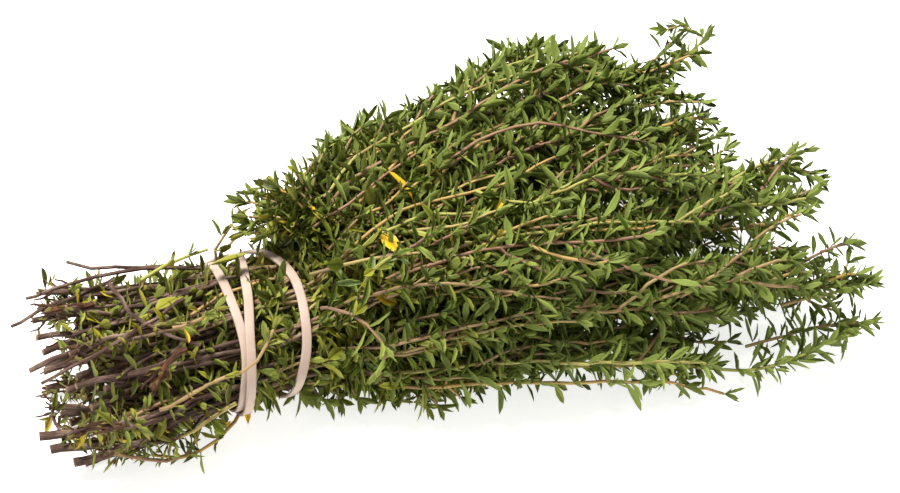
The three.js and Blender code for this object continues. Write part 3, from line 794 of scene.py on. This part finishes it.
# Leaves that stand out: old yellow ones, and a broad one that lies over the band
singleLeaves = [
    {"at": (108, 11, 52), "direction": (0.35, -0.9, -0.1), "size": 1.25, "age": 1, "tint": 0},
    {"at": (98, -7, 49), "direction": (0.1, -0.9, -0.4), "size": 1.25, "age": 1, "tint": 0},
    {"at": (100, -7, 49), "direction": (0.3, -0.9, -0.4), "size": 1.0, "age": 1, "tint": 0.01},
    {"at": (66, 7.5, 39), "direction": (-0.95, 0, -0.1), "size": 1.35, "age": 1, "tint": 0.62},
    {"at": (36, -4, 38), "direction": (0.8, 0.5, 0), "size": 1.5, "age": 1, "tint": 0.66},
]
pointValues = {
    **{name: ("FLOAT", 0.0) for name in ("stemHalf", "stemWoody", "stemCut", "stemTint",
                                         "leafSize", "leafAge", "leafTint")},
    "leafForm": ("INT", 0),
    "leafDirection": ("FLOAT_VECTOR", (0.0, 0.0, 1.0)), "leafBack": ("FLOAT_VECTOR", (1.0, 0.0, 0.0)),
}


class Sprig:
    # the points, edges and attributes of one sprig
    def __init__(self, index, main):
        self.index = index
        self.main = main
        self.draw = random.Random(growth["firstSeed"] + index)
        self.route = ownBends(main, self.draw)
        self.points, self.edges = [], []
        self.values = {name: [] for name in pointValues}

    def addPoint(self, at, **values):
        self.points.append(at)
        for name, stored in self.values.items():
            stored.append(values.get(name, pointValues[name][1]))

    def addStem(self, places, halves, woody, cut=False):
        first, tint = len(self.points), self.draw.random()
        for k, at in enumerate(places):
            self.addPoint(at, stemHalf=halves[k] * mm, stemWoody=woody[k], stemCut=float(cut and k == 0),
                          stemTint=tint)
        self.edges += [(first + k, first + k + 1) for k in range(len(places) - 1)]

    def addLeaf(self, at, heading, outward, lean, size, age, tint=None, over=False):
        lean = math.radians(lean)
        direction = math.cos(lean) * heading + math.sin(lean) * outward
        back = math.cos(lean) * outward - math.sin(lean) * heading
        reach = growth["leafLength"] * size
        if at[2] + direction[2] * reach < limits["floor"]:  # it is bent along the table instead
            direction = direction * [1, 1, 0] + up * (limits["floor"] - at[2]) / reach
            if np.linalg.norm(direction[:2]) < growth["steepest"]:
                return
            direction = unit(direction)
            back = unit(back - direction * (back @ direction))
        if not over and not leafIsClear(at, direction, reach):
            return
        kind = "narrow"
        if size < growth["smallBelow"]:
            kind = "small"
        elif self.draw.random() < growth["broadShare"] * age:
            kind = "broad"
        tint = self.draw.random() if tint is None else tint
        form = self.draw.randint(*leafKinds[kind])
        self.addPoint(at, leafSize=size, leafAge=age, leafTint=tint, leafForm=form,
                      leafDirection=tuple(direction), leafBack=tuple(back))


def leafIsClear(at, direction, reach):
    # leaves keep clear of the band, and of the space just outside it
    if not limits["bandZone"][0] < at[0] < limits["bandZone"][1]:
        return True
    tips = np.array([at + direction * reach * far for far in limits["leafTests"]])
    out = np.maximum(np.hypot(tips[:, 1] / band["y"], (tips[:, 2] - band["mid"]) / band["z"]), 1)
    out[out > limits["bandSpace"]] = 1
    tips[:, 1] /= out
    tips[:, 2] = band["mid"] + (tips[:, 2] - band["mid"]) / out
    apart = np.linalg.norm(tips[:, None] - bandPlaces[None, ::2], axis=2)
    return apart.min() > limits["bandGap"]


def perpendicular(heading, turn):
    # the direction square to the heading, `turn` degrees round it
    side = unit(np.cross(up, heading))
    other = np.cross(heading, side)
    return math.cos(math.radians(turn)) * side + math.sin(math.radians(turn)) * other


def oldness(x, draw):
    # leaves are olive round the cut ends and fresh towards the tips
    share = (x - growth["olderThan"]) / (growth["fresherThan"] - growth["olderThan"])
    return min(max(1 - share + draw.uniform(-growth["ageSpread"], growth["ageSpread"]), 0), 1)


def nodeLengths(length, spacing, draw, start=0.0):
    found, at = [], start
    while at < length - 0.5 * spacing[1]:
        found.append(at)
        at += lerp(*spacing, (at / length) ** growth["nodeEasing"]) * draw.uniform(*growth["nodeSpread"])
    return found + [length]


def growLeaves(sprig, route, lengths, style, bareness):
    # pairs of leaves, each pair square to the last, with tufts of smaller leaves in their axils
    draw = sprig.draw
    first = draw.uniform(0, 90)
    for k, length in enumerate(lengths):
        share = length / route.length
        at, heading = route.at(length), route.heading(length)
        if draw.random() < bareness(at):
            continue
        lean = lerp(*growth["lean"], share**2)
        endings = min((route.length - length) / growth["endReach"], 1)
        size = lerp(*style["sizes"], share) * lerp(growth["endLeaves"], 1, endings)
        if at[0] < bunch["held"]["from"]:
            size *= growth["cutLeaves"]
        age = oldness(at[0], draw)
        for side in (0, 180):
            turn = first + 90 * k + side + draw.uniform(-growth["turnSpread"], growth["turnSpread"])
            outward = perpendicular(heading, turn)
            spread = lean + draw.gauss(0, growth["leanSpread"])
            sprig.addLeaf(at, heading, outward, spread, size * draw.uniform(*growth["leafSizes"]), age)
            for _ in range(draw.randint(*style["tuft"])):
                beside = perpendicular(heading, turn + draw.uniform(-tufts["turn"], tufts["turn"]))
                root = at + heading * draw.uniform(0, tufts["along"])
                root += outward * draw.uniform(0, tufts["out"])
                inner = size * draw.uniform(*tufts["size"])
                sprig.addLeaf(root, heading, beside, spread * draw.uniform(*tufts["lean"]), inner, age)
    tip, heading = route.at(route.length), route.heading(route.length)
    if bareness(tip) == 1:
        return
    for k in range(4):
        beside = perpendicular(heading, 90 * k + first)
        size = draw.uniform(*growth["tipSize"])
        sprig.addLeaf(tip, heading, beside, draw.uniform(*growth["tipLean"]), size, oldness(tip[0], draw))


def inBounds(point):
    # inside the fan's outline, and not in the gaps between its branches
    past = max(point[0] - bunch["held"]["to"], limits["narrowest"])
    edge = limits["edge"] + limits["widening"] * past
    inside = -min(edge, limits["near"]) < point[1] < min(edge, limits["far"])
    inGap = any((point > low).all() and (point < high).all() for low, high in limits["gaps"])
    return inside and limits["floor"] < point[2] < limits["ceiling"] and not inGap


def tied(points):
    # a line of points held in under the band
    held = bunch["held"]
    points = np.array(points)
    for point in points:
        free = max(held["from"] - limits["tieStart"] - point[0], point[0] - held["to"], 0)
        near = 1 - min(free / limits["tieEasing"], 1)
        far = math.hypot(point[1] / limits["tiedY"], (point[2] - held["mid"]) / limits["tiedZ"])
        if far > 1 and near > 0:
            inside = np.array([point[0], point[1] / far, held["mid"] + (point[2] - held["mid"]) / far])
            point += (inside - point) * near
    return points


def ownBends(main, draw):
    # the main stem's route with bends of its own where the band doesn't hold it
    held, route = bunch["held"], main["route"]
    waves = [(draw.uniform(*sway["wave"]), draw.uniform(0, 2 * math.pi)) for _ in range(4)]
    points = route.points.copy()
    for point, length in zip(points, route.lengths):
        free = min(max(held["from"] - point[0], point[0] - held["to"], 0) / sway["easing"], 1)
        bends = [math.sin(2 * math.pi * length / wave + phase) for wave, phase in waves]
        point += free * sway["size"] * np.array([0, bends[0] + bends[1], bends[2] + bends[3]])
    if main["bend"]:
        nearest = np.argmin(np.linalg.norm(points - main["bend"], axis=1))
        fade = np.exp(-(((route.lengths - route.lengths[nearest]) / sway["bendReach"]) ** 2))
        points = points + fade[:, None] * (main["bend"] - points[nearest])
    points[:, 2] = np.clip(points[:, 2], mainStem["half"][0] * growth["stoutness"][1], limits["ceiling"])
    return Route(points)


def growBranch(sprig, points, style, bareness=None):
    # a stem with its leaves; bareness gives the share of its nodes that have none
    draw = sprig.draw
    points = np.array(points, float)
    points[:, 2] = np.clip(points[:, 2], max(limits["floor"], style["half"][0]), limits["ceiling"])
    route = Route(points)
    lengths = nodeLengths(route.length, style["nodes"], draw, growth["firstNode"])
    places = np.array([route.at(0)] + [route.at(length) for length in lengths])
    for place in places[1:-1]:
        place += [draw.gauss(0, growth["jitter"]) for _ in range(3)]
    share = np.linspace(0, 1, len(places))
    woody = np.clip(woodiness["root"] - (places[:, 0] - woodiness["from"]) / woodiness["over"], 0, 1)
    woody = woody * (1 - woodiness["lost"] * share)
    if "woody" in style:
        woody = np.full(len(places), float(style["woody"]))
    sprig.addStem(places, lerp(*style["half"], share), woody)
    growLeaves(sprig, route, lengths[:-1], style, bareness or (lambda at: style["bare"]))
    return route


def shootPoints(root, heading, length, spread, outward):
    # a shoot that leaves its stem and turns back to run beside it
    far = np.linspace(0, 1, growth["shootPoints"])[:, None]
    return root + heading * far * length + outward * spread * length * (1 - (1 - far) ** 2)


def sideShoots(sprig, route, lengths, odds):
    draw = sprig.draw
    for length in lengths:
        share = length / route.length
        if not growth["shoots"][0] < share < growth["shoots"][1] or draw.random() > odds:
            continue
        root, heading = route.at(length), route.heading(length)
        for _ in range(growth["shootTries"]):
            long = draw.uniform(*growth["shootLength"]) * lerp(1, growth["endShoots"], share**2)
            outward = perpendicular(heading, draw.uniform(0, 360))
            points = tied(shootPoints(root, heading, long, draw.uniform(*growth["shootSpread"]), outward))
            if inBounds(points[len(points) // 2]) and inBounds(points[-1]):
                growBranch(sprig, points, styles["shoot"])
                break


def branchPoints(main, start, end, outward, drift, draw):
    # beside the main stem as far as the band, and away from it in the fan
    wave, phase = draw.uniform(*branching["wave"]), draw.uniform(0, branching["phase"])
    points = []
    for length in np.arange(start, end, branching["step"]):
        heading = main.heading(length)
        side = unit(outward - heading * (outward @ heading))
        other = np.cross(heading, side)
        apart = branching["apart"] * min((length - start) / branching["parting"], 1)
        apart += drift * max(length - branching["freeFrom"], 0) / branching["freeOver"]
        waving = math.sin(length / branching["waveLength"] + phase)
        aside = wave * waving * min(apart / branching["waveFrom"], 1)
        points.append(main.at(length) + side * apart + other * aside)
    return tied(points)


def addTwigs(sprig):
    # side twigs in the cut part, some pointing back and some green
    draw, route = sprig.draw, sprig.route
    for _ in range(draw.randint(*growth["twigs"])):
        length = draw.uniform(*growth["twigRoots"])
        root, heading = route.at(length), route.heading(length)
        outward = perpendicular(heading, draw.uniform(0, 360))
        long = draw.uniform(*growth["twigLength"])
        points = tied(shootPoints(root, heading, long, draw.uniform(*growth["twigSpread"]), outward))
        if points[-1][2] < limits["twigs"]:
            growBranch(sprig, points, styles[draw.choice(("twig", "twig", "green"))])


def fray(sprig, at, heading):
    # short brown scales and fibres round a torn end
    draw = sprig.draw
    for _ in range(draw.randint(*fraying["scales"])):
        outward = perpendicular(heading, draw.uniform(0, 360))
        root = at + heading * draw.uniform(*fraying["scaleAlong"])
        root += outward * draw.uniform(*fraying["scaleOut"])
        lean, size = draw.uniform(*fraying["scaleLean"]), draw.uniform(*fraying["scaleSize"])
        sprig.addLeaf(root, heading * draw.choice((1, -1)), outward, lean, size, 1.0, 1.0)
    for _ in range(draw.randint(*fraying["fibres"])):
        outward = perpendicular(heading, draw.uniform(0, 360))
        root = at + heading * draw.uniform(*fraying["fibreAlong"]) + outward
        end = root - heading * draw.uniform(*fraying["fibreLength"])
        end += outward * draw.uniform(*fraying["fibreOut"])
        way = [root, lerp(root, end, 0.5) + fraying["fibreBend"] * outward, end]
        growBranch(sprig, smoothWay(way, fraying["points"]), styles["fibre"])


def growSprig(index, main):
    sprig = Sprig(index, main)
    draw, route = sprig.draw, sprig.route
    outer = math.hypot(*main["place"]) > growth["outer"]
    begin = draw.uniform(*growth["cutBack"])
    lengths = nodeLengths(route.length, mainStem["nodes"], draw, begin)
    places = [route.at(begin), route.at(begin + growth["cutFace"])]
    for length in lengths[1:]:
        kink = growth["kinks"][length > bunch["held"]["from"] - growth["kinkEasing"]]
        places.append(route.at(length) + np.array([draw.gauss(0, kink) for _ in range(3)]))
    share = np.array([begin, begin + growth["cutFace"]] + lengths[1:]) / route.length
    stout = draw.uniform(*growth["stoutness"])
    swollen = [1 + growth["swelling"] * draw.random() * (s < growth["swollenBelow"]) for s in share]
    rootHalf, tipHalf = mainStem["half"]
    halves = tipHalf + (rootHalf * (stout * np.array(swollen)) - tipHalf) * (1 - share ** growth["taper"])
    sprig.addStem(places, halves, woodiness["main"][0] - woodiness["main"][1] * share, cut=True)
    if draw.random() < growth["frayed"]:
        fray(sprig, places[0], route.heading(begin))

    def bareness(at):
        return bareShares["cut" if at[0] < bunch["held"]["to"] else "fan"][outer]

    growLeaves(sprig, route, lengths[1:-1], mainStem, bareness)
    sideShoots(sprig, route, lengths, growth["shootOdds"])
    around = math.degrees(math.atan2(main["place"][1], main["place"][0]))
    for k in range(growth["branches"][outer]):
        turn = math.radians(around + draw.uniform(-branching["turn"], branching["turn"]))
        outward = np.array([0, math.cos(turn), math.sin(turn)])
        end = draw.uniform(*branching["end"]) * route.length
        start, drift = draw.uniform(*branching["root"]), draw.uniform(*branching["drift"])
        points = branchPoints(route, start, end, outward, drift, draw)
        if k == 2:  # the third one strays
            growBranch(sprig, points, styles["stray"])
        else:
            branch = growBranch(sprig, points, styles["branch"], bareness)
            shootRoots = nodeLengths(branch.length, branching["nodes"], draw)
            sideShoots(sprig, branch, shootRoots, branching["shootOdds"])
    if outer:
        addTwigs(sprig)
    return sprig


class Launches:
    # places on the main stems that a shoot can start from
    def __init__(self, sprigs):
        found = []
        for sprig in sprigs:
            for length in np.linspace(*launching["shares"], launching["places"]) * sprig.route.length:
                found.append((sprig, sprig.route.at(length), sprig.route.heading(length)))
        self.sprigs = [launch[0] for launch in found]
        self.roots = np.array([launch[1] for launch in found])
        self.headings = np.array([launch[2] for launch in found])

    def nearest(self, place):
        return self.sprigs[np.argmin(np.linalg.norm(self.roots - place, axis=1))]

    def growReach(self, target):
        # a shoot to the target from the nearest place that can send one there
        away = target - self.roots
        far = np.linalg.norm(away, axis=1)
        ahead = (away * self.headings).sum(axis=1) > launching["ahead"] * far
        sameSide = (self.roots[:, 0] > bunch["held"]["from"]) == (target[0] > bunch["held"]["from"])
        able = ahead & sameSide & (far > launching["far"][0]) & (far < launching["far"][1])
        if not able.any():
            print("no stem reaches", target)
            return
        best = np.argmin(np.where(able, far, np.inf))
        sprig, root, heading, far = self.sprigs[best], self.roots[best], self.headings[best], far[best]
        end = lerp(target, root, launching["endLeaf"] * growth["leafLength"] / far)
        aside = unit(np.cross(heading, up)) * sprig.draw.uniform(-launching["aside"], launching["aside"])
        bend = lerp(root, end, 0.5) - launching["bend"] * heading * far + aside
        growBranch(sprig, smoothWay([root, bend, end], launching["points"]), styles["shoot"])


def growOutline(sprigs):
    launches = Launches(sprigs)
    draw = random.Random(companions["seed"])
    for reach in reaches:
        target = np.array(reach, float)
        launches.growReach(target)
        if (target > [companions["beyond"], companions["from"], companions["above"]]).all():
            aside = draw.uniform(-companions["aside"], companions["aside"])
            back, below = draw.uniform(*companions["back"]), draw.uniform(*companions["below"])
            launches.growReach(target + [-back, aside, -below])
    root = np.array(behindBand["root"], float)
    for end in behindBand["ends"]:
        way = [root, lerp(root, np.array(end), 0.5) + up * behindBand["rise"], np.array(end)]
        growBranch(launches.nearest(root), smoothWay(way, behindBand["points"]), styles["bush"])
    for hero in heroes:
        way = np.array(hero["way"], float)
        sprig = launches.nearest(way[0])
        growBranch(sprig, smoothWay(way, heroPoints * len(way)), styles[hero["style"]])
        if "frayed" in styles[hero["style"]]:
            fray(sprig, way[-1], unit(way[-2] - way[-1]))
    for single in singleLeaves:
        at, direction = np.array(single["at"], float), unit(np.array(single["direction"]))
        facing = unit(up - direction * direction[2])
        sprig = launches.nearest(at)
        sprig.addLeaf(at, facing, direction, 90, single["size"], single["age"], single["tint"], over=True)


def toPiece(sprig, node):
    mesh = bpy.data.meshes.new("route_" + node)
    mesh.from_pydata([tuple(point) for point in toFrame(sprig.points)], sprig.edges, [])
    for name, values in sprig.values.items():
        kind = pointValues[name][0]
        attribute = mesh.attributes.new(name, kind, "POINT")
        field = "vector" if kind == "FLOAT_VECTOR" else "value"
        attribute.data.foreach_set(field, np.array(values, int if kind == "INT" else np.float32).ravel())
    source = bpy.data.objects.new("route_" + node, mesh)
    bpy.context.scene.collection.objects.link(source)
    modifier = source.modifiers.new("thyme", "NODES")
    settings = {"Leaf forms": leafCollection, "Leaf length": growth["leafLength"] * mm, "Seed": sprig.index,
                "Sway": growth["sway"], "Stem sides": growth["stemSides"], "Leaf material": leafMaterial,
                "Stem material": stemMaterial}
    for name, value in settings.items():
        modifier[sprigNodes.keys[name]] = value
    modifier.node_group = sprigNodes.tree
    return source


def newFrom(source, name):
    # the plain mesh of an object whose modifiers are then gone
    evaluated = source.evaluated_get(bpy.context.evaluated_depsgraph_get())
    mesh = bpy.data.meshes.new_from_object(evaluated)
    bpy.data.objects.remove(source)
    mesh.name = name
    corners = np.empty(3 * len(mesh.vertices), np.float32)
    mesh.vertices.foreach_get("co", corners)
    # what would pass through the table lies on it
    corners[2::3] = np.maximum(corners[2::3], growth["tableGap"])
    mesh.vertices.foreach_set("co", corners)
    piece = bpy.data.objects.new(name, mesh)
    bpy.context.scene.collection.objects.link(piece)
    return piece


sprigs = [growSprig(index, main) for index, main in enumerate(mains)]
growOutline(sprigs)
print("grown,", sum(np.count_nonzero(sprig.values["leafSize"]) for sprig in sprigs), "leaves")
triangles = []
for sprig in sprigs:
    node = f"sprig_{sprig.index + 1:02d}"
    piece = newFrom(toPiece(sprig, node), "thyme_" + node)
    triangles.append(sum(len(face.vertices) - 2 for face in piece.data.polygons))
    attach(piece, "root")
    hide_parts(node)
for leafForm in list(leafCollection.objects):
    bpy.data.objects.remove(leafForm)
print("sprigs,", sum(triangles), "triangles, at most", max(triangles), "in one")


# Rubber band: a flat strip with rounded edges
bandSection = {"points": 16, "squareness": 0.45}


def addBand():
    ring = []
    for k in range(bandSection["points"]):
        turn = 2 * math.pi * (k + 0.5) / bandSection["points"]
        wide, high = (math.copysign(abs(value) ** bandSection["squareness"], value)
                      for value in (math.cos(turn), math.sin(turn)))
        ring.append((wide * band["width"] / 2, high * band["thick"] / 2))
    steps, sides = band["steps"], len(ring)
    points, faces = [], []
    for k in range(steps):
        along = unit(bandPlaces[(k + 1) % steps] - bandPlaces[k - 1])
        across = unit(np.cross(bandOutwards[k], along))
        normal = np.cross(along, across)
        points += [tuple(toFrame(bandPlaces[k] + across * wide + normal * high)) for wide, high in ring]
        a, b = k * sides, ((k + 1) % steps) * sides
        faces += [(a + s, a + (s + 1) % sides, b + (s + 1) % sides, b + s) for s in range(sides)]
    mesh = bpy.data.meshes.new("rubberBand")
    mesh.from_pydata(points, [], faces)
    mesh.polygons.foreach_set("use_smooth", [True] * len(faces))
    mesh.materials.append(rubberMaterial)
    piece = bpy.data.objects.new("rubberBand", mesh)
    bpy.context.scene.collection.objects.link(piece)
    return piece


rubberBand = addBand()
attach(rubberBand, "root")
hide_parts("rubber_band")
print("band")

# Table and light
studio = {"tableHalf": 3.0, "tableGlow": 0.72, "tableColour": (0.9, 0.9, 0.9, 1), "tableRough": 0.9,
          "world": 0.3,
          "softbox": {"size": 0.4, "power": 28, "place": (-0.25, 0.3, 1.1), "colour": (1, 0.965, 0.91)},
          "fill": {"size": 0.8, "power": 2.2, "place": (0.3, -0.9, 0.8), "colour": (1, 0.98, 0.95)}}


def addTable():
    half = studio["tableHalf"]
    mesh = bpy.data.meshes.new("table")
    corners = [(-half, -half, 0), (half, -half, 0), (half, half, 0), (-half, half, 0)]
    mesh.from_pydata(corners, [], [(0, 1, 2, 3)])
    paint = Paint("tableWhite", Roughness=studio["tableRough"], Base_Color=studio["tableColour"],
                  Emission_Color=(1, 1, 1, 1), Emission_Strength=studio["tableGlow"])
    mesh.materials.append(paint.material)
    table = bpy.data.objects.new("table", mesh)
    bpy.context.scene.collection.objects.link(table)


def addLight(name, size, power, place, colour):
    data = bpy.data.lights.new(name, "AREA")
    data.size = size
    data.energy = power
    data.color = colour
    light = bpy.data.objects.new(name, data)
    light.location = place
    light.rotation_euler = (-Vector(place)).to_track_quat("-Z", "Y").to_euler()
    bpy.context.scene.collection.objects.link(light)


addTable()
addLight("softbox", **studio["softbox"])
addLight("fill", **studio["fill"])
world = bpy.data.worlds.new("studio")
world.use_nodes = True
world.node_tree.nodes["Background"].inputs["Color"].default_value = (1, 1, 1, 1)
world.node_tree.nodes["Background"].inputs["Strength"].default_value = studio["world"]
bpy.context.scene.world = world
bpy.context.scene.view_settings.view_transform = "Standard"
print("table and light")
